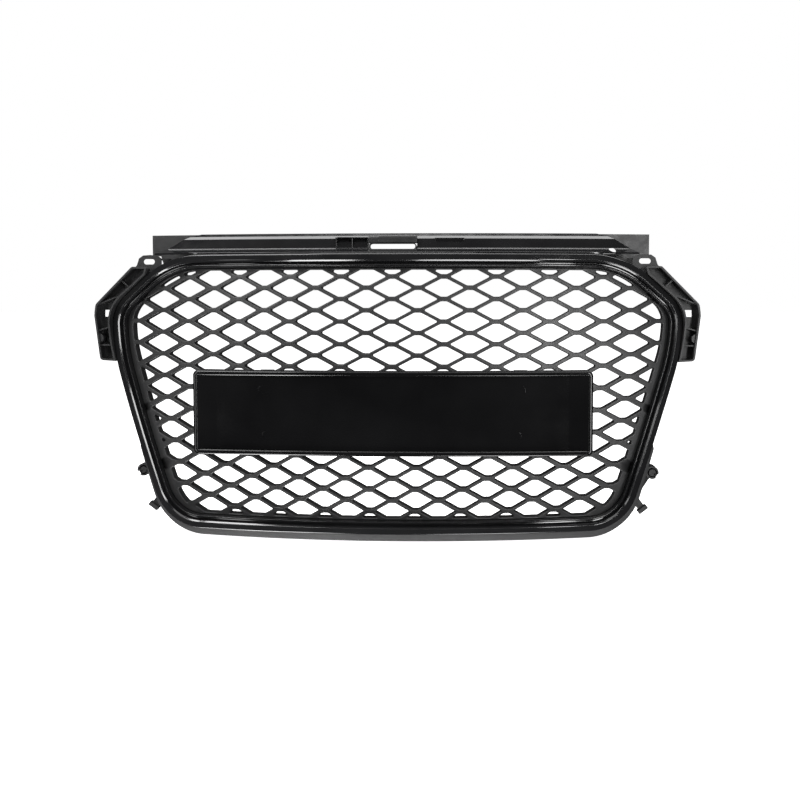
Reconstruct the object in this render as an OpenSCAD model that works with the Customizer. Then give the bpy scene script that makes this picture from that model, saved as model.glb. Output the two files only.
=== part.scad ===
// Front grille of a passenger car: a gloss surround and a honeycomb insert on a matt carrier,
// with a number-plate panel, an upper panel, side wings, side brackets and their fasteners.
// X runs to the right, Y to the rear, Z up. The origin is the middle of the plate panel's face.

/* [Bow and lean] */
// Radius of the front's bow, seen from above
bow_radius = 1100; // [1000:50:1300]
// Radius of the front's lean, seen from the side
lean_radius = 900; // [800:50:1200]
// Radius of the plate panel's own bow
plate_bow = 2000; // [1600:100:2400]
// Radius of the upper panel's bow
upper_bow = 2450; // [2200:50:2800]

/* [Surround] */
// Half width at the upper shoulder, where the top edge turns down
shoulder_x = 309; // [304:1:312]
// Height of the top edge above the plate's middle
top_z = 208.5; // [206:0.5:210]
// Half width at the cheek, the widest corner
cheek_x = 390; // [387:1:392]
// Height of the cheek
cheek_z = 137; // [134:1:140]
// Half width at the waist
waist_x = 385; // [382:1:386]
// Height of the waist
waist_z = 78; // [75:1:80]
// Half width at the bottom corner
foot_x = 311; // [308:1:313]
// Height of the bottom edge
foot_z = -160; // [-161:0.5:-158]

/* [Honeycomb] */
// Distance between cell columns in the middle
column_pitch = 68; // [64:1:72]
// Distance between neighbouring half rows of cells
half_row = 14.8; // [14:0.1:16]
// Length of the level bar between two cells
bar_length = 5.6; // [4:0.4:8]
// Thickness of the level bars
bar_thickness = 6.2; // [5:0.2:7]
// Thickness of the sloping bars
slope_thickness = 4.4; // [3.6:0.2:5]
// How much the columns close up towards the bottom
column_taper = 0.11; // [0:0.01:0.14]

/* [Plate panel] */
// Width of the plate panel
plate_w = 526; // [480:2:536]
// Height of the plate panel
plate_h = 111; // [100:1:116]
// Radius of its corners
plate_corner = 7; // [5:1:12]

/* [Brackets] */
// Half distance between the slotted holes in the top tabs
tab_slot_x = 336.8; // [335:0.2:338]
// Height of the slotted holes
tab_slot_z = 200.1; // [199:0.1:201]
// Side of the square hole in each wing
wing_hole = 9.2; // [7:0.2:10]

/* [Hidden] */
$fn = 32;
large_fn = 360;          // for the surfaces with a radius of a metre or more

gap = 0.2;              // clearance between neighbouring pieces
side_gap = 0.4;         // clearance beside the surround
skin = 2.4;             // wall of the mouldings
crest_y = -6;           // the surround's foremost line
crest_z = 10;           // height of the foremost line
far = 400;              // reach of the cutting shapes

// Depths behind the surround's front, square to the front of the car
bezel_back = 19.8;
insert_front = 18;
insert_back = 36;
flange_front = 20.2;
flange_back = 24.2;
carrier_front = 24.4;
carrier_back = 40;
seat = carrier_back + gap;

surround_corners = [
    [shoulder_x, top_z, 128],
    [cheek_x, cheek_z, 48],
    [waist_x, waist_z, 300],
    [foot_x, foot_z, 66],
];
// The carrier's outer edge leaves the surround below the waist and shows as a lip
lip_corners = [
    [shoulder_x, top_z, 128],
    [cheek_x, cheek_z, 48],
    [waist_x, waist_z, 300],
    [foot_x + 4.5, foot_z - 10, 72],
];
// The bezel's rear edge, where the insert's block begins
mouth_corners = [
    [304.5, 190, 108],
    [372.6, 128.8, 31],
    [368.6, 81.2, 284],
    [298.8, -143.4, 50],
];
// The part of the insert that is cut through by cells
opening_corners = [
    [302, 187.4, 100],
    [364, 132, 32],
    [361.5, 91, 190],
    [288, -140.8, 46],
];
wing_corners = [
    [336, 192.5, 3],
    [357, 193, 4],
    [407.5, 142, 9],
    [409.5, 127, 12],
    [402, 66, 5],
    [378, 64.5, 3],
];

arc_steps = 8;
edge_step = 42;

// ---- outlines -------------------------------------------------------------------------------

function unit(v) = v / norm(v);
function flat(p) = [p[0], p[1]];
function turned(d) = [-d[1], d[0]];
function mirrored(corners) =
    concat(corners, [for (i = [len(corners) - 1:-1:0]) [-corners[i][0], corners[i][1], corners[i][2]]]);
function direction(c, i) = unit(flat(c[(i + 1) % len(c)]) - flat(c[i % len(c)]));
function turn(c, i) = acos(min(1, direction(c, i + len(c) - 1) * direction(c, i)));
function tangent(c, i) = c[i % len(c)][2] * tan(turn(c, i) / 2);

// Points [x, z, normal x, normal z] clockwise round a convex outline with rounded corners
function corner_arc(c, i, steps) =
    let (
        before = direction(c, i + len(c) - 1),
        start = flat(c[i]) - before * tangent(c, i),
        n = turned(before),
        centre = start - n * c[i][2],
        first = atan2(n[1], n[0])
    )
    [for (k = [0:steps])
        let (a = first - turn(c, i) * k / steps)
        [centre[0] + c[i][2] * cos(a), centre[1] + c[i][2] * sin(a), cos(a), sin(a)]];
function edge_points(c, i, steps) =
    let (
        d = direction(c, i),
        n = turned(d),
        a = flat(c[i]) + d * tangent(c, i),
        b = flat(c[(i + 1) % len(c)]) - d * tangent(c, i + 1)
    )
    [for (k = [1:1:steps - 1]) concat(a + (b - a) * k / steps, n)];
function edge_count(c, i) = ceil(norm(flat(c[(i + 1) % len(c)]) - flat(c[i])) / edge_step);
function rounded(c, steps = arc_steps) =
    [for (i = [0:len(c) - 1]) each concat(corner_arc(c, i, steps), edge_points(c, i, edge_count(c, i)))];
function shifted(path, out) = [for (p = path) [p[0] + out * p[2], p[1] + out * p[3]]];
// A point on edge i of an outline, at a fraction of the edge and a distance inwards
function on_edge(c, i, t, inwards) =
    let (d = direction(c, i), a = flat(c[i]), b = flat(c[(i + 1) % len(c)]))
    a + (b - a) * t - turned(d) * inwards;

ring_corners = mirrored(surround_corners);
ring_path = rounded(ring_corners);
// An outline with as many points as the surround's, each facing the surround's own
function matched(c) =
    [for (i = [0:7]) each concat(corner_arc(c, i, arc_steps), edge_points(c, i, edge_count(ring_corners, i)))];
lip_path = matched(mirrored(lip_corners));
mouth_path = matched(mirrored(mouth_corners));
opening_path = rounded(mirrored(opening_corners), 6);

// ---- the bowed front ------------------------------------------------------------------------

function lean(z) = pow(z - crest_z, 2) / (2 * lean_radius);
function front_y(x, z) = crest_y + bow_radius - sqrt(pow(bow_radius - lean(z), 2) - x * x);

module prism(points, front = -far / 2, back = far) {
    translate([0, back, 0])
        rotate([90, 0, 0])
            linear_extrude(back - front)
                polygon(points);
}

// The space between two depths behind the bowed front
module slab(front, back, low = -260, high = 300) {
    levels = [for (k = [0:8]) low + (high - low) * k / 8];
    translate([0, crest_y + bow_radius, 0])
        rotate_extrude($fn = large_fn)
            polygon(concat(
                [for (z = levels) [bow_radius - lean(z) - front, z]],
                [for (k = [8:-1:0]) [bow_radius - lean(levels[k]) - back, levels[k]]]
            ));
}

// A closed ring of stations, each the same number of points in space
module ring_loft(stations) {
    n = len(stations);
    m = len(stations[0]);
    polyhedron(
        points = [for (s = stations) each s],
        faces = [
            for (i = [0:n - 1], j = [0:m - 1])
                let (i2 = (i + 1) % n, j2 = (j + 1) % m)
                each [
                    [i * m + j, i * m + j2, i2 * m + j2],
                    [i * m + j, i2 * m + j2, i2 * m + j],
                ]
        ]
    );
}

function placed(x, z, depth) = [x, front_y(x, z) + depth, z];
function station(p, profile) =
    [for (q = profile) placed(p[0] + q[0] * p[2], p[1] + q[0] * p[3], q[1])];

module y_cylinder(at, front, back, r) {
    translate([at[0], back, at[1]])
        rotate([90, 0, 0])
            cylinder(h = back - front, r = r);
}

module slot(at, front, back, length, r) {
    for (side = [-1, 1])
        y_cylinder([at[0] + side * (length / 2 - r), at[1]], front, back, r);
    translate([at[0] - length / 2 + r, front, at[1] - r])
        cube([length - 2 * r, back - front, 2 * r]);
}

module both_sides() {
    children();
    mirror([1, 0, 0])
        children();
}

// ---- fastener places ------------------------------------------------------------------------

post_inset = 7;
screw_inset = 10.5;
flange_edge = -post_inset - 0.6;
screw_r = 1.6;
head_r = 3.6;
post_r = 4.4;

function every(edge, fractions, inwards) = [for (t = fractions) on_edge(ring_corners, edge, t, inwards)];
insert_screw_half = concat(
    every(7, [0.565, 0.7, 0.86], screw_inset),
    every(0, [0.68], screw_inset),
    every(2, [0.2, 0.36, 0.52], screw_inset),
    every(3, [0.12, 0.27, 0.42], screw_inset)
);
wing_post_half = concat(every(0, [0.5], post_inset), every(1, [0.43], post_inset));
bracket_post_half = every(2, [0.64, 0.78], post_inset);
upper_post_half = every(7, [0.63, 0.79], post_inset);
post_half = concat(wing_post_half, bracket_post_half, upper_post_half);

function depth_at(p) = front_y(p[0], p[1]);

// ---- surround, bezel and insert -------------------------------------------------------------

module surround_frame() {
    profile = [
        [0, 24], [0, 3], [-0.9, 0.9], [-3, 0], [-8, 0], [-10.4, 2], [-11.2, 9.4], [-13.4, 10.2],
        [-13.4, 12.6], [-9, 11.8], [-7.9, 2.8], [-3, 2.8], [-2.6, 24],
    ];
    color("#0b0b0c")
        ring_loft([for (p = ring_path) station(p, profile)]);
}

module inner_bezel() {
    nose = [[-13.6, 13], [-13.6, 7.4], [-14.3, 6.4], [-15.3, 6.4], [-16.1, 7.6]];
    rear = [[0, bezel_back - gap], [skin, bezel_back]];
    color("#101012")
        ring_loft([
            for (i = [0:len(ring_path) - 1])
                concat(station(ring_path[i], nose), station(mouth_path[i], rear))
        ]);
}

// Cells sit in columns that widen a little outwards and close up towards the bottom
row_0 = 178.6;
taper_top = 76;
taper_reach = 204;
column_growth = 0.14;
function row_z(k) = row_0 - half_row * k;
function squeeze(z) = 1 - column_taper * pow(max(0, taper_top - z) / taper_reach, 1.3);
function column_x(j) = column_pitch * j + column_growth * pow(j, 3);
function cell_centre(j, k) = [column_x(j) * squeeze(row_z(k)), row_z(k)];

// Half sizes of the open cell, from the lattice's centre lines less the bars
slope_run = column_pitch / 2 - bar_length;
slope_len = norm([slope_run, half_row]);
cell_top = half_row - bar_thickness / 2;
cell_reach = ((bar_length / 2 + slope_run) * half_row - slope_len * slope_thickness / 2) / half_row;
cell_flat = cell_reach - cell_top * slope_run / half_row;
function cell(j, k) =
    let (c = cell_centre(j, k), s = squeeze(row_z(k)))
    [for (p = [
        [cell_reach, 0], [cell_flat, cell_top], [-cell_flat, cell_top],
        [-cell_reach, 0], [-cell_flat, -cell_top], [cell_flat, -cell_top],
    ]) c + [p[0] * s, p[1]]];

module cells() {
    for (k = [-1:22]) {
        shift = k % 2 == 0 ? 0.5 : 0;
        for (j = [-5 - shift:5])
            if (abs(cell_centre(j, k)[0]) < 366)
                prism(cell(j, k));
    }
}

module honeycomb_insert() {
    color("#1b1b1d")
        difference() {
            union() {
                intersection() {
                    slab(insert_front, insert_back);
                    prism(shifted(mouth_path, -gap));
                }
                intersection() {
                    slab(flange_front, flange_back);
                    prism(shifted(ring_path, flange_edge));
                }
            }
            intersection() {
                prism([for (p = opening_path) flat(p)]);
                cells();
            }
            both_sides()
                for (p = insert_screw_half)
                    y_cylinder(p, depth_at(p) + 10, depth_at(p) + 32, screw_r + 0.1);
        }
}

// ---- plate panel ----------------------------------------------------------------------------

clamp_cells = [[2.5, 10], [2.5, 14]];
clamp_points = [for (c = clamp_cells) cell_centre(c[0], c[1])];
boss_r = 5.4;

function rectangle(w, h, r) =
    rounded([[w / 2, h / 2, r], [w / 2, -h / 2, r], [-w / 2, -h / 2, r], [-w / 2, h / 2, r]], 5);

function plate_y(x) = plate_bow - sqrt(pow(plate_bow, 2) - x * x);

module plate_slab(front, back) {
    translate([0, plate_bow, -far / 2])
        difference() {
            cylinder(h = far, r = plate_bow - front, $fn = large_fn);
            translate([0, 0, -1])
                cylinder(h = far + 2, r = plate_bow - back, $fn = large_fn);
        }
}

module plate_layer(front, back, inset) {
    intersection() {
        plate_slab(front, back);
        prism(shifted(rectangle(plate_w, plate_h, plate_corner), -inset));
    }
}

module plate_panel() {
    edge = 2.2;
    rim = 6;
    face = 3;
    color("#08080a")
        difference() {
            union() {
                plate_layer(0, edge, edge);
                difference() {
                    plate_layer(edge, 60, 0);
                    plate_layer(face + 1.2, 70, skin);
                    slab(insert_front - gap, far / 2);
                }
                both_sides()
                    for (p = clamp_points)
                        y_cylinder(p, plate_y(p[0]) + edge + 0.6, depth_at(p) + insert_back, boss_r);
            }
            plate_layer(-10, 1.2, rim);
            both_sides()
                for (p = clamp_points)
                    y_cylinder(p, depth_at(p) + 14, far, screw_r + 0.1);
        }
}

// A flat bar behind the insert that ties the panel's upper and lower boss
clamp_w = 18;
clamp_t = 3;
clamp_y = front_y(clamp_points[0][0] + clamp_w / 2, clamp_points[0][1] + 24) + insert_back + gap;
module plate_clamp() {
    top = clamp_points[0] + [0, 24];
    low = clamp_points[1] - [0, 24];
    half = [clamp_w / 2, 0];
    difference() {
        prism([top - half, top + half, low + half, low - half], clamp_y, clamp_y + clamp_t);
        for (p = clamp_points)
            y_cylinder(p, 0, far, screw_r + 0.3);
    }
}

module plate_clamp_right() {
    color("#2b2b2e")
        plate_clamp();
}

module plate_clamp_left() {
    mirror([1, 0, 0])
        plate_clamp_right();
}

// A pan-head screw along Y: the head's seat is at `seat_y` and the shank runs forwards
module screw(at, seat_y, length, r = screw_r, head = head_r) {
    head_h = 2.4;
    recess_r = 1.3;
    difference() {
        union() {
            y_cylinder(at, seat_y - length, seat_y, r);
            y_cylinder(at, seat_y, seat_y + head_h, head);
        }
        translate([at[0], seat_y + head_h + 0.1, at[1]])
            rotate([90, 0, 0])
                cylinder(h = 1.5, r = recess_r, $fn = 6);
    }
}

module plate_screws() {
    color("#9a9ca0")
        both_sides()
            for (p = clamp_points)
                screw(p, clamp_y + clamp_t + gap, 16);
}

// ---- carrier --------------------------------------------------------------------------------

carrier_out = 1.8;
carrier_in = -16;
lip_front = 11;
lip_start = -32;

// The band of a slab between two outlines
module band(front, back, outer, inner) {
    intersection() {
        slab(front, back);
        difference() {
            prism(outer);
            prism(inner);
        }
    }
}

module carrier_frame() {
    wall = 2.6;
    lip_outer = shifted(lip_path, carrier_out);
    outer = shifted(ring_path, carrier_out);
    outer_inside = shifted(ring_path, carrier_out - wall);
    inner = shifted(ring_path, carrier_in);
    inner_inside = shifted(ring_path, carrier_in + wall);
    color("#3a3a3c")
        difference() {
            union() {
                band(carrier_front, carrier_front + wall, outer, inner);
                band(carrier_front, carrier_back, outer, outer_inside);
                band(carrier_front, carrier_back, inner_inside, inner);
                difference() {
                    band(lip_front, carrier_front + wall / 2, lip_outer, shifted(ring_path, side_gap));
                    both_sides()
                        prism([
                            [300, lip_start + 40], [300, 300], [460, 300],
                            [460, lip_start - 10], [340, lip_start - 10],
                        ]);
                    translate([-300, -far / 2, 0])
                        cube([600, far, far]);
                }
                both_sides()
                    for (p = post_half)
                        y_cylinder(p, depth_at(p) + carrier_front + 1, depth_at(p) + carrier_back - 1, post_r);
            }
            both_sides() {
                for (p = post_half)
                    y_cylinder(p, depth_at(p) + carrier_front + 4, far, screw_r + 0.05);
                for (p = insert_screw_half)
                    y_cylinder(p, depth_at(p) + carrier_front - 12, far, screw_r + 0.1);
            }
        }
}

module insert_screws() {
    color("#8d8f93")
        both_sides()
            for (p = insert_screw_half)
                screw(p, depth_at(p) + carrier_front + 3.4, 9, screw_r, 3);
}

// ---- upper carrier, upper panel and catch bezel ---------------------------------------------

web_y = 112;
web_top = 240;
web_half = 353;
catch_x = -4.5;
catch_z = 221.6;
catch_length = 63.6;
catch_r = 3.6;
vent_x = 297;
vent_z = 215.6;

// The band between two depths behind the upper panel's own bow, whose middle is at Y = 0
module upper_slab(front, back) {
    translate([0, upper_bow, 0])
        difference() {
            cylinder(h = far, r = upper_bow - front, $fn = large_fn);
            translate([0, 0, -1])
                cylinder(h = far + 2, r = upper_bow - back, $fn = large_fn);
        }
}

module box(low, high) {
    translate(low)
        cube(high - low);
}

module upper_carrier() {
    shelf_z = 204;
    shelf_half = 300;
    end_low = 210.5;
    window = 6;
    deck = [[288, 190], [334, 190], [341, end_low + 2], [288, end_low + 2]];
    color("#333335")
        difference() {
            union() {
                intersection() {
                    upper_slab(web_y, web_y + 3);
                    union() {
                        box([-web_half, 0, end_low], [web_half, far, web_top]);
                        box([-shelf_half, 0, shelf_z], [shelf_half, far, web_top]);
                        both_sides()
                            prism(deck);
                    }
                }
                intersection() {
                    upper_slab(40, web_y + 3);
                    box([-shelf_half, 0, shelf_z], [shelf_half, far, shelf_z + skin]);
                }
                intersection() {
                    slab(seat, seat + skin);
                    box([-shelf_half, 0, 190], [shelf_half, far, shelf_z + skin]);
                }
                for (x = [-270:90:270])
                    intersection() {
                        upper_slab(web_y - 44, web_y + 1);
                        prism([
                            [x - 1.2, shelf_z], [x + 1.2, shelf_z], [x + 1.2, shelf_z + 5],
                            [x - 1.2, shelf_z + 5],
                        ]);
                    }
            }
            intersection() {
                slab(-far / 2, seat);
                box([-320, -100, 150], [320, far, shelf_z + 20]);
            }
            box([catch_x - catch_length / 2 - window, 80, 212], [catch_x + catch_length / 2 + window, far, 233]);
            box([vent_x - 9, 80, vent_z - 3], [vent_x + 9, far, vent_z + 8]);
            both_sides()
                for (p = upper_post_half)
                    y_cylinder(p, 0, far, screw_r + 0.3);
        }
}

module upper_panel() {
    ledge_z = 211.7;
    fold_y = 92;
    fold_z = 218.5;
    wall_y = 97;
    wall_z = 231.5;
    rim_z = 240.4;
    profile = [
        [20, ledge_z - 2.2], [20, ledge_z], [fold_y - 3, fold_z], [fold_y, fold_z + 1.2],
        [wall_y, wall_z], [wall_y + 1.4, wall_z + 2.4], [wall_y + 5, rim_z - 2.2], [wall_y + 9, rim_z],
        [web_y + 8, rim_z], [web_y + 8, rim_z - 8], [web_y + 6, rim_z - 8], [web_y + 6, rim_z - 1.6],
        [wall_y + 9.6, rim_z - 1.8], [wall_y + 6.6, rim_z - 3.8], [wall_y + 3.6, wall_z + 1.4],
        [wall_y + 2.2, wall_z - 1], [fold_y + 2.2, fold_z - 1], [fold_y, fold_z - 2.6],
    ];
    color("#0c0c0e")
        difference() {
            union() {
                intersection() {
                    translate([0, upper_bow, 0])
                        rotate_extrude($fn = large_fn)
                            polygon([for (p = profile) [upper_bow - p[0], p[1]]]);
                    box([-web_half, -10, 200], [web_half, far / 2, 260]);
                }
                for (x = [-82.4, -60.5, -38.5])
                    box([x - 1, wall_y - 6, fold_z - 1], [x + 1, wall_y + 1.2, wall_z + 2]);
                box([52, wall_y - 2.4, 228.3], [95, wall_y + 3, wall_z + 2.6]);
            }
            slab(-far, 8);
            both_sides()
                translate([0, far, 0])
                    rotate([90, 0, 0])
                        linear_extrude(2 * far)
                            polygon([[330, 212.5], [312, 220], [297, 230], [283, 241], [283, 300], [3000, 300],
                                [3000, 150], [322, 150], [322, 212.5]]);
            slot([catch_x, catch_z], 60, 108, catch_length + 2.4, catch_r + 1.2);
            box([catch_x - 34, 86, catch_z], [catch_x + 34.5, 108, 234]);
            slot([vent_x, vent_z], 60, far, 11, 3.8);
        }
}

module catch_bezel() {
    front = 88;
    back = 101;
    left = catch_x - 33.4;
    right = catch_x + 33.4;
    color("#141416")
        difference() {
            union() {
                slot([catch_x, catch_z], front + 2, back, catch_length + 2, catch_r + 1);
                box([left, front + 3, catch_z], [right, back, 231]);
                box([catch_x - 19.3, front, 226], [right, back + 2, 237.5]);
                box([left, front + 1.6, 225.6], [catch_x - 18, back + 1, 236.6]);
            }
            slot([catch_x, catch_z], 0, far, catch_length - 1, catch_r);
            translate([0, 0, 2.4])
                slot([catch_x, catch_z], front + 6, far, catch_length - 1, catch_r);
        }
}

module upper_screws() {
    color("#8d8f93")
        both_sides()
            for (p = upper_post_half)
                screw(p, depth_at(p) + seat + 3.4, 12);
}

// ---- wings ----------------------------------------------------------------------------------

wing_front = 60;
wing_floor = 76;
wing_back = wing_floor + skin;
lug_t = 3;

module lug(edge, t) {
    p = on_edge(ring_corners, edge, t, 0);
    n = turned(direction(ring_corners, edge));
    back = depth_at(p) + seat + lug_t + 1;
    translate([p[0], back, p[1]])
        rotate([90, 0, 0])
            rotate(atan2(n[1], n[0]))
                translate([-13, -8, 0])
                    linear_extrude(back - wing_floor)
                        square([19, 16]);
}

module wing_ribs() {
    ribs = [
        [[363, 166], [376, 177]],
        [[375, 154], [405, 142]],
        [[381, 113.5], [410, 105]],
        [[377, 86.5], [411, 86.5]],
    ];
    for (r = ribs) {
        n = turned(unit(r[1] - r[0])) * 0.9;
        prism([r[0] - n, r[0] + n, r[1] + n, r[1] - n], wing_front + 4, wing_back);
    }
    y_cylinder([404, 96], wing_front + 3, wing_back, 6);
}

module top_tab() {
    tab_front = 72;
    prism(
        [
            [320, 190], [320, 204.5], [325, 208], [334.5, 209.3], [345, 208.6], [350.6, 204.6], [353.6, 195.4],
            [356, 192.5], [356, 190],
        ],
        tab_front, tab_front + 3
    );
}

// Closes the corner between the tab and the carrier, behind the slot
module shoulder_web() {
    web_front = 110.5;
    prism([[318, 180], [352, 180], [352, 193], [333, 194], [333, 206], [318, 206]], web_front, web_front + skin);
}

module wing() {
    path = rounded(wing_corners, 4);
    hole_at = [396, 129.7];
    difference() {
        union() {
            difference() {
                prism([for (p = path) flat(p)], wing_front, wing_back);
                difference() {
                    prism(shifted(path, -skin), 0, wing_floor);
                    prism(shifted(ring_path, side_gap + skin));
                    wing_ribs();
                }
            }
            top_tab();
            shoulder_web();
            lug(0, 0.5);
            lug(1, 0.43);
        }
        intersection() {
            slab(-far / 2, carrier_front - gap);
            prism(shifted(ring_path, side_gap));
        }
        intersection() {
            slab(-far / 2, seat);
            prism(shifted(ring_path, carrier_out + gap));
            translate([0, wing_back, 0])
                box([-far, 0, -far], [far + 100, far, far]);
        }
        slot([tab_slot_x, tab_slot_z], 0, far, 16, 3.7);
        translate([hole_at[0] - wing_hole / 2, 0, hole_at[1] - wing_hole / 2])
            cube([wing_hole, far, wing_hole]);
        for (p = wing_post_half)
            y_cylinder(p, 0, far, screw_r + 0.3);
    }
}

module wing_right() {
    color("#29292b")
        wing();
}

module wing_left() {
    mirror([1, 0, 0])
        wing_right();
}

module wing_screws() {
    color("#8d8f93")
        both_sides() {
            for (k = [0, 1]) {
                p = wing_post_half[k];
                edge_point = on_edge(ring_corners, k, k == 0 ? 0.5 : 0.43, 0);
                screw(p, depth_at(edge_point) + seat + lug_t + 1.2, 13);
            }
        }
}

// ---- side brackets and retainers ------------------------------------------------------------

ear_at = [350.4, -87];
ear_r = 8.8;
bracket_back = 102;

module side_bracket() {
    difference() {
        union() {
            difference() {
                prism(
                    [
                        [339, -62], [350, -78], [352, -96], [341, -112], [334, -128], [326, -136],
                        [310, -128], [318, -100], [324, -62],
                    ],
                    90, bracket_back
                );
                slab(-far, seat);
            }
            y_cylinder(ear_at, 78, bracket_back, ear_r);
        }
        difference() {
            y_cylinder(ear_at, 60, 90, ear_r - 2.4);
            y_cylinder(ear_at, 60, 100, 4.6);
        }
        prism([ear_at, ear_at + [14, -4], ear_at + [11, -14]], 60, 84);
        for (p = bracket_post_half)
            y_cylinder(p, 0, far, screw_r + 0.3);
    }
}

module side_bracket_right() {
    color("#1f1f21")
        side_bracket();
}

module side_bracket_left() {
    mirror([1, 0, 0])
        side_bracket_right();
}

// A T-shaped push retainer that lies across the lower corner
module retainer() {
    head_at = [338.6, -138.6];
    stem_way = unit([-8.4, 11.1]);
    head_way = turned(stem_way);
    a = head_at + head_way * 7.4;
    b = head_at - head_way * 7.4;
    prism([a - stem_way * 3, a + stem_way * 3, b + stem_way * 3, b - stem_way * 3], 82, 92);
    prism(
        [
            head_at - head_way * 5, head_at + head_way * 5,
            head_at + head_way * 5 + stem_way * 16, head_at - head_way * 5 + stem_way * 16,
        ],
        85.4, 89.8
    );
}

module retainer_right() {
    color("#232325")
        retainer();
}

module retainer_left() {
    mirror([1, 0, 0])
        retainer_right();
}

module bracket_screws() {
    color("#8d8f93")
        both_sides()
            for (p = bracket_post_half)
                screw(p, bracket_back + gap, 12);
}

// ---- assembly -------------------------------------------------------------------------------

surround_frame();
inner_bezel();
honeycomb_insert();
plate_panel();
plate_clamp_left();
plate_clamp_right();
plate_screws();
carrier_frame();
upper_carrier();
upper_panel();
catch_bezel();
wing_left();
wing_right();
side_bracket_left();
side_bracket_right();
retainer_left();
retainer_right();
insert_screws();
wing_screws();
bracket_screws();
upper_screws();
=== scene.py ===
"""Looks of a honeycomb front grille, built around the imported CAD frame.

Lengths below are in millimetres unless a name says otherwise; meshes are written in metres.
X runs to the right, Y to the rear and Z up, with the origin in the middle of the plate panel's face.
"""

import math

import bmesh
import bpy
import numpy as np
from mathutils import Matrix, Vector
from mathutils.geometry import delaunay_2d_cdt


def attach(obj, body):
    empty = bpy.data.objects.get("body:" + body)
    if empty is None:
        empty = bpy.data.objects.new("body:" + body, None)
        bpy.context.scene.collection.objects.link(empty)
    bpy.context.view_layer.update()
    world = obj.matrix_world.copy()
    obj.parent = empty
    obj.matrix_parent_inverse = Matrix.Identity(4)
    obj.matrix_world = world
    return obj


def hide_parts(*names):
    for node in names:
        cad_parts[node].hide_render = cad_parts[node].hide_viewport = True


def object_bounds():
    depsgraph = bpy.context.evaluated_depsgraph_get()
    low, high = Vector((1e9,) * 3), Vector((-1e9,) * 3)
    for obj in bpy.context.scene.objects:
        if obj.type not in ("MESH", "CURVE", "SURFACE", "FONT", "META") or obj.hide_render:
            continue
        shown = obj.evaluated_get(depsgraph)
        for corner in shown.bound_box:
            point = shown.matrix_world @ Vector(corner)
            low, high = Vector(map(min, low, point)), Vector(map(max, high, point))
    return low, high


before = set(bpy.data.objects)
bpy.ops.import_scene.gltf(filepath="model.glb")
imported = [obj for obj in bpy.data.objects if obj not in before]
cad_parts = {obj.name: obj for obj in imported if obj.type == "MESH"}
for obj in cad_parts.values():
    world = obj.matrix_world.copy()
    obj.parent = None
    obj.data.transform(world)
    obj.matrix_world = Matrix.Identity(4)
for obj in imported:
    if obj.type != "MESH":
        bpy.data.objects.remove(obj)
cad_low, cad_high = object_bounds()
scene = bpy.context.scene
MM = 0.001
SHARP = 32   # degrees between two faces, over which their edge isn't shaded smooth
WELD = 2e-6  # metres within which two points are one


# ---- outlines and profiles ----------------------------------------------------------------------

def unit(v):
    return v / np.linalg.norm(v)


def outward(d):
    """The outer side of an edge that runs clockwise in direction d."""
    return np.array([-d[1], d[0]])


def mirrored(corners):
    return corners + [(-x, z, r) for x, z, r in reversed(corners)]


def outline(corners, arc_steps, edge_counts=None, edge_step=6.0):
    """Rows [x, z, outward x, outward z] clockwise round a convex outline with rounded corners."""
    n = len(corners)
    points = [np.array(c[:2], float) for c in corners]
    ways = [unit(points[(i + 1) % n] - points[i]) for i in range(n)]
    turns = [math.acos(min(1.0, float(ways[i - 1] @ ways[i]))) for i in range(n)]
    cut = [corners[i][2] * math.tan(turns[i] / 2) for i in range(n)]
    rows = []
    for i in range(n):
        radius, normal = corners[i][2], outward(ways[i - 1])
        centre = points[i] - ways[i - 1] * cut[i] - normal * radius
        first = math.atan2(normal[1], normal[0])
        for k in range(arc_steps + 1):
            a = first - turns[i] * k / arc_steps
            c, s = math.cos(a), math.sin(a)
            rows.append([centre[0] + radius * c, centre[1] + radius * s, c, s])
        a = points[i] + ways[i] * cut[i]
        b = points[(i + 1) % n] - ways[i] * cut[(i + 1) % n]
        steps = edge_counts[i] if edge_counts else max(1, math.ceil(np.linalg.norm(b - a) / edge_step))
        side = outward(ways[i])
        for k in range(1, steps):
            p = a + (b - a) * k / steps
            rows.append([p[0], p[1], side[0], side[1]])
    return np.array(rows)


def edge_steps(corners, step):
    n = len(corners)
    return [
        max(2, math.ceil(math.dist(corners[i][:2], corners[(i + 1) % n][:2]) / step))
        for i in range(n)
    ]


def on_edge(corners, i, t, inwards):
    """A point on edge i of an outline, at a fraction of the edge and a distance inwards."""
    a, b = (np.array(corners[k % len(corners)][:2], float) for k in (i, i + 1))
    return a + (b - a) * t - outward(unit(b - a)) * inwards


def shifted(rows, out):
    return rows[:, :2] + out * rows[:, 2:]


def softened(points, radii, steps=4):
    """A closed polyline with each corner rounded by its radius, or less where its edges are short."""
    n = len(points)
    p = [np.array(q, float) for q in points]
    r = radii if hasattr(radii, "__len__") else [radii] * n
    out = []
    for i in range(n):
        a, b, c = p[i - 1], p[i], p[(i + 1) % n]
        to_a, to_c = unit(a - b), unit(c - b)
        half = math.acos(max(-1.0, min(1.0, float(to_a @ to_c)))) / 2
        if r[i] <= 0 or half > math.pi / 2 - 0.02:
            out.append(b)
            continue
        reach = min(r[i] / math.tan(half), 0.45 * np.linalg.norm(a - b), 0.45 * np.linalg.norm(c - b))
        start, end = b + to_a * reach, b + to_c * reach
        for k in range(steps + 1):
            t = k / steps
            out.append((1 - t) ** 2 * start + 2 * t * (1 - t) * b + t**2 * end)
    return np.array(out)


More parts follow.
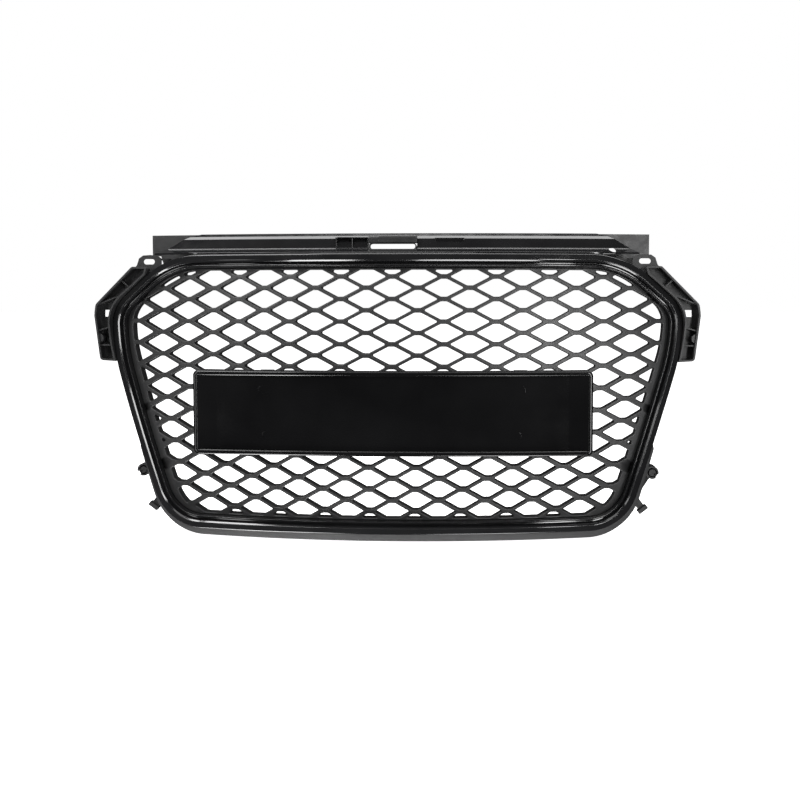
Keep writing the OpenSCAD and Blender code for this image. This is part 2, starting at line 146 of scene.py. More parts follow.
def half_plane(polygon, a, b):
    """The part of a convex polygon on the inner side of the clockwise edge from a to b."""
    way = b - a
    side = [way[0] * (q[1] - a[1]) - way[1] * (q[0] - a[0]) for q in polygon]
    kept = []
    for k in range(len(polygon)):
        m = (k + 1) % len(polygon)
        if side[k] <= 0:
            kept.append(polygon[k])
        if (side[k] <= 0) != (side[m] <= 0):
            t = side[k] / (side[k] - side[m])
            kept.append(polygon[k] + t * (polygon[m] - polygon[k]))
    return kept


def clipped(polygon, clip):
    """A convex polygon cut to a convex outline; both run clockwise."""
    out = [np.array(q, float) for q in polygon]
    for i in range(len(clip)):
        a, b = clip[i], clip[(i + 1) % len(clip)]
        if math.dist(a, b) > 1e-6:
            out = half_plane(out, a, b)
    return out


def area_of(polygon):
    q = np.array(polygon)
    return abs(np.sum(q[:, 0] * np.roll(q[:, 1], -1) - np.roll(q[:, 0], -1) * q[:, 1])) / 2


def round_cell(polygon, radius):
    """A convex polygon shrunk by a radius and grown again, so that every corner is round."""
    inner = [np.array(q, float) for q in polygon]
    n = len(polygon)
    for i in range(n):
        a, b = np.array(polygon[i], float), np.array(polygon[(i + 1) % n], float)
        if np.linalg.norm(b - a) > 1e-6:
            shift = -outward(unit(b - a)) * radius
            inner = half_plane(inner, a + shift, b + shift)
            if len(inner) < 3:
                return None
    tidy = [q for k, q in enumerate(inner) if np.linalg.norm(q - inner[k - 1]) > 0.02]
    if len(tidy) < 3:
        return None
    rows, m = [], len(tidy)
    for i in range(m):
        before = outward(unit(tidy[i] - tidy[i - 1]))
        after = outward(unit(tidy[(i + 1) % m] - tidy[i]))
        first = math.atan2(before[1], before[0])
        turn = (first - math.atan2(after[1], after[0])) % (2 * math.pi)
        steps = max(1, math.ceil(turn / math.radians(14)))
        for k in range(steps + 1):
            a = first - turn * k / steps
            normal = np.array([math.cos(a), math.sin(a)])
            rows.append([*(tidy[i] + normal * radius), *normal])
    return np.array(rows)


# ---- the bowed front ----------------------------------------------------------------------------

BOW, LEAN, CREST_Y, CREST_Z = 1100.0, 900.0, -6.0, 10.0
PLATE_BOW, UPPER_BOW = 2000.0, 2450.0


def bowed(x, z, depth):
    """Y of the surface at a depth behind the front, measured square to the bow."""
    lean = (z - CREST_Z) ** 2 / (2 * LEAN)
    return CREST_Y + BOW - np.sqrt((BOW - lean - depth) ** 2 - x * x)


def behind(x, z, depth):
    """Y of the surface at a depth behind the front, measured along Y."""
    return bowed(x, z, 0.0) + depth


def plate_y(x, z, depth):
    return PLATE_BOW - np.sqrt((PLATE_BOW - depth) ** 2 - x * x)


def upper_y(x, z, depth):
    return UPPER_BOW - np.sqrt((UPPER_BOW - depth) ** 2 - x * x)


def flat_y(x, z, depth):
    return depth + 0.0 * x


# ---- meshes -------------------------------------------------------------------------------------

def soft_levels(front, back, edge):
    """[out, depth] steps of a wall from front to back with softened edges."""
    return [(-edge, front), (-0.3 * edge, front + 0.3 * edge), (0, front + edge),
            (0, back - edge), (-0.3 * edge, back - 0.3 * edge), (-edge, back)]


class Shape:
    """Collects points in millimetres and faces, and turns them into one piece."""

    def __init__(self):
        self.points, self.faces = [], []

    def add(self, xz, depth, place):
        xz = np.asarray(xz, float)
        y = place(xz[:, 0], xz[:, 1], depth)
        start = len(self.points)
        self.points.extend(zip(xz[:, 0], y, xz[:, 1]))
        return list(range(start, len(self.points)))

    def grid(self, rows, endless=True):
        """Quads over closed rows of points, [row][column][xyz], joined in a ring or closed by end faces."""
        n, m = rows.shape[:2]
        start = len(self.points)
        self.points.extend(map(tuple, rows.reshape(-1, 3)))
        for i in range(n if endless else n - 1):
            a, b = start + i * m, start + (i + 1) % n * m
            for j in range(m):
                k = (j + 1) % m
                self.faces.append((a + j, a + k, b + k, b + j))
        if not endless:
            last = start + (n - 1) * m
            self.faces += [tuple(range(start, start + m)), tuple(range(last, last + m))]

    def skin(self, a, b):
        for i in range(len(a)):
            j = (i + 1) % len(a)
            self.faces.append((a[i], a[j], b[j], b[i]))

    def skins(self, loops):
        for a, b in zip(loops, loops[1:]):
            self.skin(a, b)

    def sheet(self, outer, holes=()):
        """Triangles between an outer loop and the loops of its holes; loops are point numbers."""
        ids = list(outer)
        edges = [(i, (i + 1) % len(outer)) for i in range(len(outer))]
        owner = [-1] * len(outer)
        for h, loop in enumerate(holes):
            base = len(ids)
            edges += [(base + i, base + (i + 1) % len(loop)) for i in range(len(loop))]
            ids += loop
            owner += [h] * len(loop)
        flat = [Vector((self.points[i][0], self.points[i][2])) for i in ids]
        rim = [list(range(len(outer)))]
        _, _, faces, origin, _, _ = delaunay_2d_cdt(flat, edges, rim, 1, 1e-5, True)
        for f in faces:
            src = [origin[v][0] if origin[v] else -1 for v in f]
            if -1 in src:
                continue
            own = {owner[s] for s in src}
            if len(own) == 1 and own.pop() >= 0:
                continue
            self.faces.append(tuple(ids[s] for s in src))

    def banded(self, loop):
        """Upright strips across a rectangular loop with round corners, and a face at each end."""
        xz = np.array([self.points[i] for i in loop])[:, [0, 2]]
        top = sorted(np.flatnonzero(xz[:, 1] > xz[:, 1].max() - 1e-6), key=lambda k: xz[k, 0])
        low = sorted(np.flatnonzero(xz[:, 1] < xz[:, 1].min() + 1e-6), key=lambda k: xz[k, 0])
        for i in range(len(top) - 1):
            self.faces.append(tuple(loop[k] for k in (top[i], top[i + 1], low[i + 1], low[i])))
        for first, last in ((top[-1], low[-1]), (low[0], top[0])):
            count = (last - first) % len(loop) + 1
            self.faces.append(tuple(loop[(first + k) % len(loop)] for k in range(count)))

    def mesh(self, name):
        mesh = bpy.data.meshes.new(name)
        mesh.from_pydata([(x * MM, y * MM, z * MM) for x, y, z in self.points], [], self.faces)
        return mesh

    def piece(self, name, slot, *nodes, angle=SHARP):
        return finish_piece(name, self.mesh(name), slot, nodes, angle)


def finish_piece(name, mesh, slot, nodes, angle, weighted=True):
    """Cleans a mesh and makes it a piece in a material slot, in place of the CAD nodes."""
    bm = bmesh.new()
    bm.from_mesh(mesh)
    bmesh.ops.remove_doubles(bm, verts=bm.verts, dist=WELD)
    loose = [v for v in bm.verts if not v.link_faces]
    bmesh.ops.delete(bm, geom=loose, context="VERTS")
    bmesh.ops.recalc_face_normals(bm, faces=bm.faces)
    bm.to_mesh(mesh)
    bm.free()
    mesh.validate()
    mesh.shade_smooth()
    mesh.set_sharp_from_angle(angle=math.radians(angle))
    piece = bpy.data.objects.new(name, mesh)
    scene.collection.objects.link(piece)
    mesh.materials.append(MATERIALS[slot])
    if weighted:
        add_weighted(piece)
    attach(piece, "root")
    if nodes:
        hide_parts(*nodes)
    return piece


def add_weighted(piece):
    modifier = piece.modifiers.new("even_shading", "WEIGHTED_NORMAL")
    modifier.keep_sharp = True
    modifier.weight = 80


def swept(shape, path, profile, place):
    """Sweeps a closed profile of [out, depth] points round a closed outline."""
    u, v = profile[:, 0], profile[:, 1]
    x = path[:, 0][:, None] + path[:, 2][:, None] * u[None, :]
    z = path[:, 1][:, None] + path[:, 3][:, None] * u[None, :]
    y = place(x, z, v[None, :])
    shape.grid(np.stack([x, y, z], axis=2))


def plate_solid(shape, corners_xz, front, back, radius=1.0, edge=0.6, place=flat_y, steps=5):
    """A plate with the given outline in the XZ plane, rounded corners and softened edges."""
    q = np.array(corners_xz, float)
    if np.sum(q[:, 0] * np.roll(q[:, 1], -1) - np.roll(q[:, 0], -1) * q[:, 1]) > 0:
        q = q[::-1]
    loop = softened(q, radius, steps)
    before, after = loop - np.roll(loop, 1, 0), np.roll(loop, -1, 0) - loop
    normal = np.array([unit(outward(unit(a) + unit(b))) for a, b in zip(before, after)])
    levels = soft_levels(front, back, edge)
    rings = [shape.add(loop + normal * out, depth, place) for out, depth in levels]
    shape.skins(rings)
    shape.sheet(rings[0])
    shape.sheet(rings[-1])


def round_bar(shape, at, front, back, radius, edge=0.5, steps=28):
    """A cylinder along Y with softened ends."""
    a = np.linspace(0, -2 * math.pi, steps, endpoint=False)
    circle = np.stack([np.cos(a), np.sin(a)], 1)
    levels = soft_levels(front, back, edge)
    loops = [shape.add(np.array(at) + circle * (radius + out), depth, flat_y) for out, depth in levels]
    shape.skins(loops)
    shape.faces += [tuple(loops[0]), tuple(loops[-1])]


def from_cad(node, slot, edge, angle=30, segments=3):
    """A CAD node's shape with its flats joined up and its edges rounded."""
    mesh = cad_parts[node].data.copy()
    bm = bmesh.new()
    bm.from_mesh(mesh)
    bmesh.ops.remove_doubles(bm, verts=bm.verts, dist=WELD)
    bmesh.ops.dissolve_limit(bm, angle_limit=math.radians(0.4), verts=bm.verts, edges=bm.edges)
    bm.to_mesh(mesh)
    bm.free()
    mesh.materials.clear()
    mesh.name = node + "_shape"
    piece = finish_piece("look_" + node, mesh, slot, [node], angle, weighted=False)
    modifier = piece.modifiers.new("soft_edges", "BEVEL")
    modifier.width = edge * MM
    modifier.segments = segments
    modifier.limit_method = "ANGLE"
    modifier.angle_limit = math.radians(angle)
    modifier.use_clamp_overlap = True
    add_weighted(piece)


# ---- materials ----------------------------------------------------------------------------------

def plastic(name, dark, light, rough, grain_scale, grain_depth, blotch_scale, specular=0.5):
    """Moulded plastic: a mottled colour, a roughness that wanders, and a fine surface grain."""
    material = bpy.data.materials.new(name)
    material.use_nodes = True
    nodes, links = material.node_tree.nodes, material.node_tree.links
    shader = nodes["Principled BSDF"]
    shader.inputs["Specular IOR Level"].default_value = specular
    place = nodes.new("ShaderNodeTexCoord")
    blotch = nodes.new("ShaderNodeTexNoise")
    blotch.inputs["Scale"].default_value = blotch_scale
    blotch.inputs["Detail"].default_value = 6.0
    links.new(place.outputs["Object"], blotch.inputs["Vector"])
    ramp = nodes.new("ShaderNodeValToRGB")
    ramp.color_ramp.elements[0].position = 0.32
    ramp.color_ramp.elements[0].color = (*dark, 1)
    ramp.color_ramp.elements[1].position = 0.7
    ramp.color_ramp.elements[1].color = (*light, 1)
    links.new(blotch.outputs["Fac"], ramp.inputs["Fac"])
    links.new(ramp.outputs["Color"], shader.inputs["Base Color"])
    wander = nodes.new("ShaderNodeTexNoise")
    wander.inputs["Scale"].default_value = blotch_scale * 3.1
    wander.inputs["Detail"].default_value = 3.0
    links.new(place.outputs["Object"], wander.inputs["Vector"])
    spread = nodes.new("ShaderNodeMapRange")
    spread.inputs["From Min"].default_value = 0.3
    spread.inputs["From Max"].default_value = 0.7
    spread.inputs["To Min"].default_value = rough[0]
    spread.inputs["To Max"].default_value = rough[1]
    links.new(wander.outputs["Fac"], spread.inputs["Value"])
    links.new(spread.outputs["Result"], shader.inputs["Roughness"])
    grain = nodes.new("ShaderNodeTexNoise")
    grain.inputs["Scale"].default_value = grain_scale
    grain.inputs["Detail"].default_value = 2.0
    links.new(place.outputs["Object"], grain.inputs["Vector"])
    bump = nodes.new("ShaderNodeBump")
    bump.inputs["Strength"].default_value = 1.0
    bump.inputs["Distance"].default_value = grain_depth
    links.new(grain.outputs["Fac"], bump.inputs["Height"])
    links.new(bump.outputs["Normal"], shader.inputs["Normal"])
    return material


def zinc(name):
    material = plastic(name, (0.36, 0.37, 0.38), (0.58, 0.58, 0.57), (0.24, 0.42), 2600.0, 0.00002, 60.0)
    material.node_tree.nodes["Principled BSDF"].inputs["Metallic"].default_value = 1.0
    return material


# slot: name, dark and light colour, roughness, grain scale, grain depth, blotch scale, specular level
PLASTICS = {
    "gloss_black": ("gloss_black_plastic", (0.006, 0.006, 0.0065), (0.010, 0.010, 0.0105),
                    (0.07, 0.13), 420.0, 0.000004, 14.0),
    "gloss_panel": ("gloss_plate_plastic", (0.0022, 0.0022, 0.0024), (0.0045, 0.0045, 0.0048),
                    (0.06, 0.12), 300.0, 0.000003, 9.0, 0.35),
    "satin_black": ("satin_mesh_plastic", (0.017, 0.017, 0.0175), (0.026, 0.026, 0.0265),
                    (0.34, 0.46), 1500.0, 0.00003, 22.0),
    "matt_carrier": ("matt_carrier_plastic", (0.020, 0.020, 0.021), (0.030, 0.030, 0.0305),
                     (0.5, 0.64), 1700.0, 0.00006, 18.0),
    "matt_bracket": ("matt_bracket_plastic", (0.012, 0.012, 0.0125), (0.020, 0.020, 0.0205),
                     (0.36, 0.5), 1400.0, 0.00004, 26.0),
}
MATERIALS = {slot: plastic(*values) for slot, values in PLASTICS.items()}
MATERIALS["steel_screws"] = zinc("zinc_plated_steel")


# ---- surround, bezel and carrier ----------------------------------------------------------------

RING = mirrored([(309, 208.5, 128), (390, 137, 48), (385, 78, 300), (311, -160, 66)])
LIP = mirrored([(309, 208.5, 128), (390, 137, 48), (385, 78, 300), (315.5, -170, 72)])
MOUTH = mirrored([(304.5, 190, 108), (372.6, 128.8, 31), (368.6, 81.2, 284), (298.8, -143.4, 50)])
OPENING = mirrored([(302, 187.4, 100), (364, 132, 32), (361.5, 91, 190), (288, -140.8, 46)])
COUNTS = edge_steps(RING, 7)
ring = outline(RING, 26, COUNTS)
lip = outline(LIP, 26, COUNTS)
mouth = outline(MOUTH, 26, COUNTS)


def surround():
    profile = softened(
        [(0, 24), (0, 0), (-8, 0), (-10.4, 2.2), (-11.2, 9.4), (-13.4, 10.2), (-13.4, 12.6),
         (-9, 11.8), (-7.9, 2.8), (-3, 2.8), (-2.6, 24)],
        [0.5, 1.7, 1.6, 1.4, 1.6, 0.5, 0.5, 0.8, 0.6, 0.6, 0.5],
        6,
    )
    shape = Shape()
    swept(shape, ring, profile, behind)
    shape.piece("gloss_surround", "gloss_black", "surround_frame")


def bezel():
    shape = Shape()
    stations = []
    for p, q in zip(ring, mouth):
        rear = (q[:2] - p[:2]) @ p[2:]
        profile = softened(
            [(-13.6, 13), (-13.6, 6.4), (-15.9, 6.4), (rear, 19.6), (min(rear + 2.4, -13.8), 19.8)],
            [0.4, 0.9, 1.1, 0.5, 0.4],
            5,
        )
        x, z = p[0] + profile[:, 0] * p[2], p[1] + profile[:, 0] * p[3]
        stations.append(np.stack([x, behind(x, z, profile[:, 1]), z], 1))
    shape.grid(np.array(stations))
    shape.piece("gloss_inner_bezel", "gloss_black", "inner_bezel")


POST_INSET = 7.0
WING_POSTS = [on_edge(RING, 0, 0.5, POST_INSET), on_edge(RING, 1, 0.43, POST_INSET)]
BRACKET_POSTS = [on_edge(RING, 2, t, POST_INSET) for t in (0.64, 0.78)]
UPPER_POSTS = [on_edge(RING, 7, t, POST_INSET) for t in (0.63, 0.79)]


def carrier():
    wall = 2.6
    front, back, out, into = 24.4, 40.0, 1.8, -16.0
    lip_front, lip_back = 11, 25.5
    lip_start, lip_fade = -42, 10
    profile = softened(
        [(out, back), (out, front), (into, front), (into, back), (into + wall, back),
         (into + wall, front + wall), (out - wall, front + wall), (out - wall, back)],
        0.7, 3,
    )
    shape = Shape()
    swept(shape, ring, profile, bowed)
    # the lip that shows outside the surround below its waist
    low = [i for i in range(len(ring)) if ring[i, 1] < -40]
    start = next(i for i in low if (i - 1) % len(ring) not in low)
    order = [i for k in range(len(low)) for i in [(start + k) % len(ring)]]
    rows = []
    for i in order:
        p, q = ring[i], lip[i]
        grow = min(1.0, max(0.0, (lip_start - p[1]) / lip_fade))
        grow = grow * grow * (3 - 2 * grow)
        a = p[:2] + p[2:] * 0.4
        full = q[:2] + q[2:] * out
        b = a + (full - a) * (0.06 + 0.94 * grow)
        way = unit(b - a)
        width = np.linalg.norm(b - a)
        soft = min(1.2, 0.4 * width)
        levels = [(a, lip_back), (a, lip_front + 0.4), (a + way * 0.4 * soft, lip_front),
                  (b - way * soft, lip_front), (b - way * 0.3 * soft, lip_front + 0.3 * soft),
                  (b, lip_front + soft), (b, lip_back)]
        rows.append([(c[0], float(behind(c[0], c[1], d)), c[1]) for c, d in levels])
    shape.grid(np.array(rows), endless=False)
    # stiffening ribs across the channel, and the screw posts
    both_sides = (np.array([1, 1]), np.array([-1, 1]))
    posts = [side * p for p in WING_POSTS + BRACKET_POSTS + UPPER_POSTS for side in both_sides]
    for i in range(0, len(ring), 9):
        p = ring[i]
        middle = p[:2] - p[2:] * POST_INSET
        if min(np.linalg.norm(middle - q) for q in posts) < 9:
            continue
        half = np.array([p[3], -p[2]]) * 0.8
        a, b = p[:2] - p[2:] * 0.4, p[:2] - p[2:] * 13.8
        rib = [a - half, a + half, b + half, b - half]
        plate_solid(shape, rib, front + 1, front + 9.5, 0.3, 0.3, bowed, 2)
    for q in posts:
        depth = float(bowed(q[0], q[1], 0))
        round_bar(shape, q, depth + front + 1, depth + back - 1, 4.4)
    shape.piece("rear_carrier", "matt_carrier", "carrier_frame")


# ---- honeycomb ----------------------------------------------------------------------------------

ROW_0, HALF_ROW = 178.6, 14.8
PITCH, GROWTH = 68.0, 0.14
BAR, BAR_T, SLOPE_T = 5.6, 6.2, 4.4
INSERT_FRONT, INSERT_BACK = 18.0, 36.0


def squeeze(z):
    """How much narrower the cells are at a height."""
    return 1 - 0.11 * (max(0.0, 76 - z) / 204) ** 1.3


def cell_centre(j, k):
    z = ROW_0 - HALF_ROW * k
    return np.array([(PITCH * j + GROWTH * j**3) * squeeze(z), z])


def cell_corners(j, k):
    run = PITCH / 2 - BAR
    top = HALF_ROW - BAR_T / 2
    reach = ((BAR / 2 + run) * HALF_ROW - math.hypot(run, HALF_ROW) * SLOPE_T / 2) / HALF_ROW
    level = reach - top * run / HALF_ROW
    centre, s = cell_centre(j, k), squeeze(ROW_0 - HALF_ROW * k)
    corners = [(-reach, 0), (-level, top), (level, top), (reach, 0), (level, -top), (-level, -top)]
    soft = softened(corners, [0, 6, 6, 0, 6, 6], 5)
    return soft * np.array([s, 1]) + centre


def honeycomb():
    opening = outline(OPENING, 14, edge_step=1000)[:, :2]
    cells = []
    for k in range(-1, 23):
        half = 0.5 if k % 2 == 0 else 0.0
        for j in np.arange(-5 - half, 5.1 + half):
            if abs(cell_centre(j, k)[0]) > 366:
                continue
            full = cell_corners(j, k)
            cut = clipped(full, opening)
            if len(cut) < 3 or area_of(cut) < 12:
                continue
            whole = area_of(cut) > 0.98 * area_of(full)
            for radius in (1.3,) if whole else (1.3, 0.9, 0.5):
                rows = round_cell(cut, radius)
                if rows is not None:
                    cells.append(rows)
                    break
    shape = Shape()
    levels = [(1.35, 18.0), (0.8, 18.14), (0.34, 18.5), (0.07, 19.1),
              (0.0, 19.8), (0.25, 27.0), (0.5, 35.4), (0.9, 36.0)]
    fronts, backs = [], []
    for rows in cells:
        loops = [shape.add(shifted(rows, out), depth, bowed) for out, depth in levels]
        shape.skins(loops)
        fronts.append(loops[0])
        backs.append(loops[-1])
    edge = [(mouth, -0.7, 18), (mouth, -0.35, 18.15), (mouth, -0.2, 18.5),
            (mouth, -0.2, 20.2), (ring, -7.6, 20.2), (ring, -7.6, 24.2),
            (mouth, -0.2, 24.2), (mouth, -0.2, 35.6), (mouth, -0.6, 36)]
    border = [shape.add(shifted(path, out), depth, bowed) for path, out, depth in edge]
    shape.skins(border)
    shape.sheet(border[0], fronts)
    shape.sheet(border[-1], backs)
    shape.piece("honeycomb_mesh", "satin_black", "honeycomb_insert", angle=40)


# ---- plate panel --------------------------------------------------------------------------------

def rectangle(w, h, r):
    return [(w / 2, h / 2, r), (w / 2, -h / 2, r), (-w / 2, -h / 2, r), (-w / 2, h / 2, r)]


def plate_panel():
    rows = outline(rectangle(526, 111, 7), 10, edge_step=8)
    shape = Shape()
    skin, face, deck = 2.4, 1.2, 4.2

    def front_of_mesh(x, z, depth):
        return bowed(x, z, INSERT_FRONT - 0.2) + depth

    levels = [(-7.1, face, plate_y), (-6.3, face - 0.15, plate_y),
              (-5.9, face - 0.6, plate_y), (-5.5, 0.25, plate_y), (-4.9, 0.0, plate_y),
              (-2.9, 0.0, plate_y), (-2.0, 0.12, plate_y), (-1.0, 0.6, plate_y),
              (-0.35, 1.3, plate_y), (0.0, 2.4, plate_y), (0.0, -0.5, front_of_mesh),
              (-0.4, 0.0, front_of_mesh), (-skin, 0.0, front_of_mesh),
              (-skin, deck + 0.8, plate_y), (-skin - 0.8, deck, plate_y)]
    loops = [shape.add(shifted(rows, out), depth, place) for out, depth, place in levels]
    shape.skins(loops)
    for loop in (loops[0], loops[-1]):
        shape.banded(loop)
    # pegs through the mesh to the clamps
    for side in (-1, 1):
        for x, z in (cell_centre(2.5, 10), cell_centre(2.5, 14)):
            front, back = float(plate_y(x, 0, 4.0)), float(bowed(x, z, 0)) + INSERT_BACK
            round_bar(shape, (side * x, z), front, back, 5.4)
    shape.piece("number_plate_panel", "gloss_panel", "plate_panel")


# ---- upper panel and catch ----------------------------------------------------------------------

CATCH_X, CATCH_Z, CATCH_LENGTH, CATCH_R = -4.5, 221.6, 63.6, 3.6
HOOD_HALF, HOOD_CUT = 33.4, 33.6
VENT_X, VENT_Z = 297.0, 215.6
# height and half length of the panel
END_LINE = [(211, 330), (216, 327), (220, 321), (224.5, 314),
            (229, 307), (233.5, 300), (237.5, 289), (240.4, 277)]


def turned_outwards(mesh):
    """Makes the faces of a closed mesh look outwards."""
    bm = bmesh.new()
    bm.from_mesh(mesh)
    bmesh.ops.recalc_face_normals(bm, faces=bm.faces)
    if bm.calc_volume(signed=True) < 0:
        bmesh.ops.reverse_faces(bm, faces=bm.faces)
    bm.to_mesh(mesh)
    bm.free()


def cutter(build):
    """A closed helper mesh for a boolean cut; it is removed after use."""
    shape = Shape()
    build(shape)
    mesh = shape.mesh("cutter")
    turned_outwards(mesh)
    tool = bpy.data.objects.new("cutter", mesh)
    scene.collection.objects.link(tool)
    return tool


def carved(piece, builds):
    """Cuts shapes out of a piece, and keeps the result as its mesh."""
    tools = [cutter(b) for b in builds]
    piece.modifiers.clear()
    turned_outwards(piece.data)
    for tool in tools:
        modifier = piece.modifiers.new("cut", "BOOLEAN")
        modifier.operation = "DIFFERENCE"
        modifier.solver = "EXACT"
        modifier.use_self = True
        modifier.use_hole_tolerant = True
        modifier.object = tool
    graph = bpy.context.evaluated_depsgraph_get()
    mesh = bpy.data.meshes.new_from_object(piece.evaluated_get(graph))
    piece.modifiers.clear()
    old = piece.data
    piece.data = mesh
    bpy.data.meshes.remove(old)
    for tool in tools:
        bpy.data.objects.remove(tool)
    mesh.shade_smooth()
    mesh.set_sharp_from_angle(angle=math.radians(SHARP))
    add_weighted(piece)


def slot_outline(x, z, length, r):
    a = np.linspace(math.pi / 2, -math.pi / 2, 12)
    right = [(x + length / 2 - r + r * math.cos(t), z + r * math.sin(t)) for t in a]
    left = [(x - length / 2 + r - r * math.cos(t), z - r * math.sin(t)) for t in a]
    return right + left


def prism(outline_xz, front, back):
    def build(shape):
        a = shape.add(outline_xz, front, flat_y)
        b = shape.add(outline_xz, back, flat_y)
        shape.skin(a, b)
        shape.faces += [tuple(a), tuple(b)]
    return build


def upper_panel():
    ledge, fold_y, fold_z, wall_y, wall_z, rim, web = 211.7, 92, 218.5, 97, 231.5, 240.4, 112
    profile = softened(
        [(44, ledge - 2.2), (44, ledge), (fold_y - 2, fold_z), (wall_y, wall_z + 1),
         (wall_y + 3.4, rim - 4.2), (wall_y + 9, rim), (web + 8, rim), (web + 8, rim - 8),
         (web + 6, rim - 8), (web + 6, rim - 1.6), (wall_y + 9.6, rim - 1.8),
         (wall_y + 5.6, rim - 4.8), (wall_y + 2.2, wall_z), (fold_y + 1.2, fold_z - 1.4),
         (fold_y - 1, fold_z - 2.4)],
        [0.4, 0.8, 2.4, 2.4, 2.0, 2.4, 0.8, 0.4, 0.4, 0.8, 1.5, 1.5, 1.5, 1.5, 1.5], 5,
    )
    count = 96
    t = np.linspace(-1, 1, count)
    t = np.sign(t) * np.abs(t) ** 0.9
    ends = np.interp(profile[:, 1], [z for z, _ in END_LINE], [x for _, x in END_LINE])
    x = t[:, None] * ends[None, :]
    depth = np.repeat(profile[:, 0][None, :], count, 0)
    z = np.repeat(profile[:, 1][None, :], count, 0)
    y = upper_y(x, z, depth)
    seat = bowed(x, z, 8.0)
    y = np.where(profile[:, 0][None, :] < fold_y - 3, np.maximum(y, seat), y)
    shape = Shape()
    shape.grid(np.stack([x, y, z], 2), endless=False)
    piece = shape.piece("gloss_upper_panel", "gloss_black", "upper_panel")
    left, right = CATCH_X - HOOD_CUT, CATCH_X + HOOD_CUT
    carved(piece, [
        prism(slot_outline(CATCH_X, CATCH_Z, CATCH_LENGTH + 2.4, CATCH_R + 1.2), 60, 110.5),
        prism([(left, 234), (right, 234), (right, CATCH_Z), (left, CATCH_Z)], 84, 107),
        prism(slot_outline(VENT_X, VENT_Z, 11, 3.8), 40, 160),
    ])
    # two pockets with raised borders beside the catch, and a notched block on the other side
    shape = Shape()
    low, high = fold_z - 1, wall_z + 2.6
    for rib_x in (-82.4, -60.5, -38.5):
        rib = [(rib_x - 1, low), (rib_x + 1, low), (rib_x + 1, high), (rib_x - 1, high)]
        plate_solid(shape, rib, wall_y - 7, wall_y + 2, 0.6, 0.5, upper_y, 3)
    bar = [(-83.4, wall_z + 0.8), (-38, wall_z + 0.8), (-38, wall_z + 2.8),
           (-81, wall_z + 2.8), (-83.4, wall_z + 1.6)]
    plate_solid(shape, bar, wall_y - 7, wall_y + 3, 0.6, 0.5, upper_y, 3)
    block = [(52, 233.4), (54.5, 229.5), (58, 228.3), (89, 228.3), (93.5, 229.5), (95, 233.4)]
    plate_solid(shape, block, wall_y - 2.4, wall_y + 4, 1.6, 0.7, upper_y, 5)
    shape.piece("upper_panel_ribs", "gloss_black")


def catch():
    left, right = CATCH_X - HOOD_HALF, CATCH_X + HOOD_HALF
    shape = Shape()
    # frame of the slot
    outer = slot_outline(CATCH_X, CATCH_Z, CATCH_LENGTH + 2, CATCH_R + 1)
    inner = slot_outline(CATCH_X, CATCH_Z, CATCH_LENGTH - 1, CATCH_R)
    steps = ((inner, 101), (inner, 90.6), (outer, 90.2), (outer, 101))
    loops = [shape.add(path, depth, flat_y) for path, depth in steps]
    shape.skins(loops)
    shape.skin(loops[-1], loops[0])
    shape.piece("catch_slot_frame", "satin_black", "catch_bezel")
    # rounded hood over the slot, with a narrower collar at its left end
    shape = Shape()
    hood = (CATCH_X - 19.3, right, 226, 237.5, 88, 103)
    collar = (left, CATCH_X - 18.2, 225.8, 236.4, 89.6, 102)
    for x0, x1, z0, z1, y0, y1 in (hood, collar):
        section = softened([(y0, z0), (y0, z1), (y1, z1), (y1, z0)], [1.4, 4.6, 1.0, 0.8], 7)
        xs = [x0, x0 + 0.35, x0 + 1.1, x1 - 1.1, x1 - 0.35, x1]
        shrink = [1.1, 0.35, 0, 0, 0.35, 1.1]
        centre = section.mean(0)
        rows = []
        for x, s in zip(xs, shrink):
            scaled = centre + (section - centre) * (1 - s / 6.5)
            rows.append([(x, y, z) for y, z in scaled])
        shape.grid(np.array(rows), endless=False)
    shape.piece("catch_hood", "satin_black")


# ---- build --------------------------------------------------------------------------------------

surround()
bezel()
carrier()
honeycomb()
plate_panel()
upper_panel()
catch()
from_cad("upper_carrier", "matt_bracket", 0.5)
for side in ("left", "right"):
    from_cad("wing_" + side, "matt_bracket", 0.5)
    from_cad("side_bracket_" + side, "matt_bracket", 0.6)
    from_cad("retainer_" + side, "matt_bracket", 0.6)
    from_cad("plate_clamp_" + side, "matt_bracket", 0.5)
for group in ("plate_screws", "insert_screws", "wing_screws", "bracket_screws", "upper_screws"):
    from_cad(group, "steel_screws", 0.35, segments=2)

# ---- camera, light and floor --------------------------------------------------------------------

camera = bpy.data.objects.new("camera", bpy.data.cameras.new("camera"))
scene.collection.objects.link(camera)
camera.location = (0.114, -1.300, 0.144)
camera.rotation_euler = (math.radians(90 - 2.8), 0, math.radians(2.2))
camera.data.sensor_width = 36
camera.data.lens = 45.545
camera.data.shift_x = -0.0499
camera.data.shift_y = -0.0596
scene.camera = camera

scene.view_settings.view_transform = "Standard"

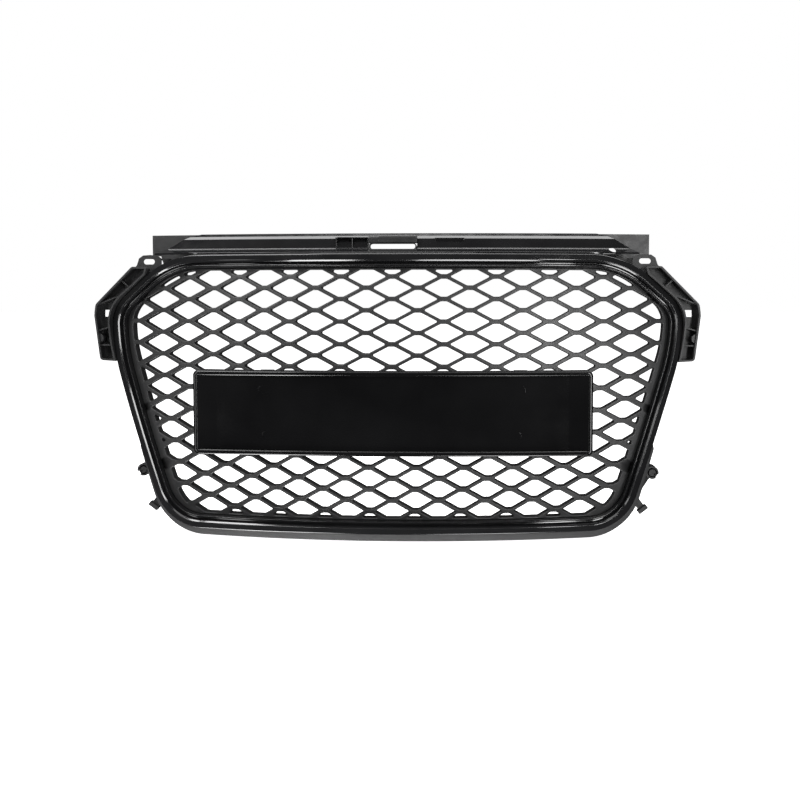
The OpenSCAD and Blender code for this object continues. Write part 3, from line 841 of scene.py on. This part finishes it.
world = bpy.data.worlds.new("studio")
scene.world = world
world.use_nodes = True
nodes, links = world.node_tree.nodes, world.node_tree.links
background = nodes["Background"]
background.inputs["Color"].default_value = (1, 1, 1, 1)
background.inputs["Strength"].default_value = 0.05
seen = nodes.new("ShaderNodeBackground")
seen.inputs["Color"].default_value = (1, 1, 1, 1)
seen.inputs["Strength"].default_value = 1.0
soft = nodes.new("ShaderNodeBackground")
soft.inputs["Color"].default_value = (1, 1, 1, 1)
soft.inputs["Strength"].default_value = 0.38
ray = nodes.new("ShaderNodeLightPath")
matt = nodes.new("ShaderNodeMixShader")
choice = nodes.new("ShaderNodeMixShader")
links.new(ray.outputs["Is Diffuse Ray"], matt.inputs["Fac"])
links.new(background.outputs["Background"], matt.inputs[1])
links.new(soft.outputs["Background"], matt.inputs[2])
links.new(ray.outputs["Is Camera Ray"], choice.inputs["Fac"])
links.new(matt.outputs["Shader"], choice.inputs[1])
links.new(seen.outputs["Background"], choice.inputs[2])
links.new(choice.outputs["Shader"], nodes["World Output"].inputs["Surface"])


def softbox(name, where, target, width, height, power):
    light = bpy.data.lights.new(name, "AREA")
    light.shape = "RECTANGLE"
    light.size, light.size_y = width, height
    light.energy = power
    lamp = bpy.data.objects.new(name, light)
    lamp.location = where
    lamp.rotation_euler = (Vector(target) - Vector(where)).to_track_quat("-Z", "Y").to_euler()
    scene.collection.objects.link(lamp)


softbox("strip_right", (1.35, -2.1, 0.25), (0, 0, 0.05), 0.34, 1.9, 34)
softbox("strip_left", (-1.62, -1.88, 0.2), (0, 0, 0.05), 0.3, 1.6, 8)
softbox("overhead", (0, 0.22, 1.6), (0, 0.1, 0), 2.8, 0.7, 48)
softbox("front_top", (0.1, -2.1, 2.3), (0, 0, 0), 2.4, 0.7, 16)
softbox("low_left", (-0.55, -0.15, -1.1), (-0.3, -0.1, 0.2), 1.2, 0.3, 24)
softbox("low_middle", (0.3, -0.48, -1.1), (-0.2, 0, 0.15), 0.5, 0.42, 10)
softbox("upper_left", (-0.95, -0.9, 1.2), (0, 0, 0.1), 0.9, 0.3, 16)

floor_mesh = bpy.data.meshes.new("floor")
size, level = 30.0, cad_low.z - 0.0005
corners = [(-size, -size), (size, -size), (size, size), (-size, size)]
floor_mesh.from_pydata([(x, y, level) for x, y in corners], [], [(0, 1, 2, 3)])
floor = bpy.data.objects.new("floor", floor_mesh)
scene.collection.objects.link(floor)
paper = bpy.data.materials.new("pale_paper")
paper.use_nodes = True
shader = paper.node_tree.nodes["Principled BSDF"]
shader.inputs["Base Color"].default_value = (0.9, 0.9, 0.9, 1)
shader.inputs["Roughness"].default_value = 0.9
shader.inputs["Emission Color"].default_value = (1, 1, 1, 1)
shader.inputs["Emission Strength"].default_value = 1.0
floor_mesh.materials.append(paper)
floor.visible_glossy = False
floor.visible_diffuse = False
floor.visible_shadow = False
